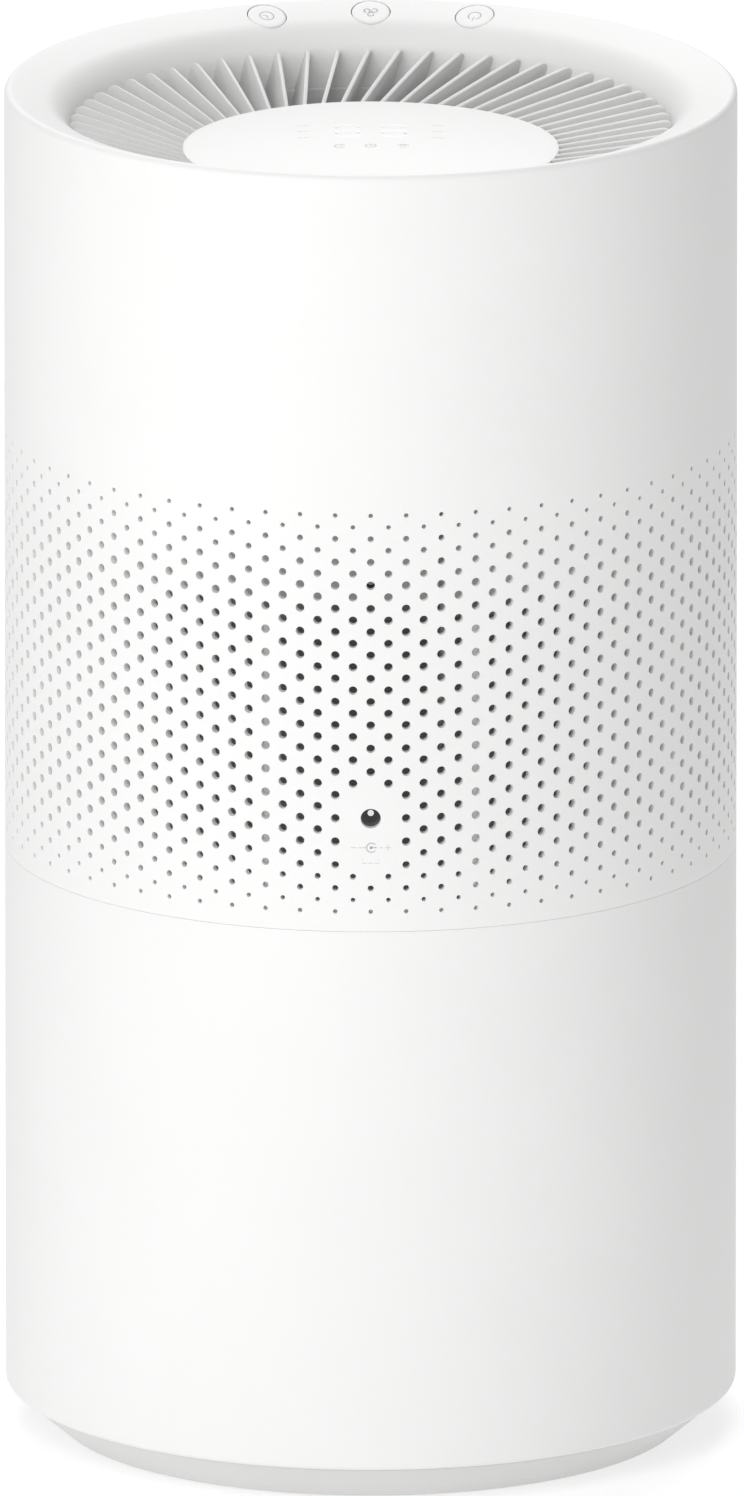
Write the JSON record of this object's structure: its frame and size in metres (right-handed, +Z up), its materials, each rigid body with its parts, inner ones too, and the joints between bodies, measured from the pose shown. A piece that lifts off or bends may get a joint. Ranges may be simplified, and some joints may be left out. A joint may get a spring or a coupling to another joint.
{
  "type": "air purifier",
  "caption": "Cylindrical white air purifier with a perforated intake band, swept-fin top outlet round a domed display, rim push buttons and a lift-off fan housing over a ring filter.",
  "frame": {"origin": "centre of the face the purifier stands on", "axes": "+Z up along the axis of the cylinder; -Y is the side with the DC inlet, +Y the side with the three push buttons"},
  "size_m": [0.23, 0.23, 0.4315],
  "materials": {
    "white_plastic": "satin",
    "base_plastic": "matt",
    "inner_plastic": "matt",
    "black_plastic": "gloss",
    "sensor_plastic": "matt",
    "cover_plastic": "satin",
    "led_plastic": "diffuse",
    "rubber": "matt",
    "foam": "open cell",
    "steel": "zinc plated",
    "motor_steel": "laminated",
    "bearing_steel": "polished",
    "aluminium": "cast",
    "magnet": "sintered",
    "copper": "enamelled",
    "paper": "pleated paper",
    "carbon": "granular",
    "mesh": "woven",
    "strap": "woven tape",
    "board": "solder mask",
    "components": "moulded",
    "wire": "sleeved"
  },
  "bodies": {
    "lower_drum": {"lower_drum": "white_plastic", "base_ring": "base_plastic", "base_plate": "base_plastic", "foot_pads": "rubber", "base_screws": "steel", "filter_seat": "inner_plastic", "seat_gasket": "foam", "interlock_magnet": "magnet"},
    "filter": {"filter_media": "paper", "filter_bottom_cap": "inner_plastic", "filter_top_cap": "inner_plastic", "carbon_core": "carbon", "prefilter_mesh": "mesh", "pull_strap": "strap", "filter_gasket": "foam"},
    "housing": {"upper_shell": "white_plastic", "skirt_ring": "inner_plastic", "intake_foot": "inner_plastic", "intake_ribs": "inner_plastic", "intake_frame": "inner_plastic", "jack_bracket": "sensor_plastic", "dc_jack": "black_plastic", "jack_pin": "bearing_steel", "dust_sensor": "sensor_plastic", "sensor_port": "sensor_plastic", "interlock_sensor": "sensor_plastic", "fan_deck": "inner_plastic", "inlet_guard": "sensor_plastic", "fan_duct": "inner_plastic", "duct_seal": "foam", "motor_stator": "motor_steel", "stator_coils": "copper", "motor_mount": "aluminium", "motor_bearings": "bearing_steel", "motor_cradle": "inner_plastic", "motor_dampers": "rubber", "motor_screws": "steel", "cradle_screws": "steel", "deck_screws": "steel", "shell_screws": "steel", "outlet_grille": "white_plastic", "display_cover": "cover_plastic", "display_board": "board", "display_module": "led_plastic", "light_guides": "led_plastic", "control_board": "board", "board_components": "components", "button_board": "board", "tact_switches": "components", "power_lead": "wire", "button_lead": "wire", "motor_lead": "wire"},
    "impeller": {"impeller": "sensor_plastic", "motor_shaft": "steel", "impeller_nut": "steel", "rotor_can": "aluminium", "rotor_magnets": "magnet"},
    "power_button": {"power_button": "white_plastic"},
    "speed_button": {"speed_button": "white_plastic"},
    "timer_button": {"timer_button": "white_plastic"}
  },
  "joints": [
    {"name": "housing_lift", "type": "slide", "parent": "lower_drum", "child": "housing", "axis": [0, 0, 1], "range_m": [0, 0.4]},
    {"name": "filter_lift", "type": "slide", "parent": "lower_drum", "child": "filter", "axis": [0, 0, 1], "range_m": [0, 0.2]},
    {"name": "impeller_spin", "type": "hinge", "parent": "housing", "child": "impeller", "pos_m": [0, 0, 0.36], "axis": [0, 0, 1], "continuous": true},
    {"name": "power_button_press", "type": "slide", "parent": "housing", "child": "power_button", "axis": [0, 0, -1], "range_m": [0, 0.0006], "stiffness_N_per_m": 800, "springref_m": -0.0003},
    {"name": "speed_button_press", "type": "slide", "parent": "housing", "child": "speed_button", "axis": [0, 0, -1], "range_m": [0, 0.0006], "stiffness_N_per_m": 800, "springref_m": -0.0003},
    {"name": "timer_button_press", "type": "slide", "parent": "housing", "child": "timer_button", "axis": [0, 0, -1], "range_m": [0, 0.0006], "stiffness_N_per_m": 800, "springref_m": -0.0003}
  ],
  "couplings": [
    {"joint": "filter_lift", "follows": "housing_lift", "ratio": 0.5}
  ]
}
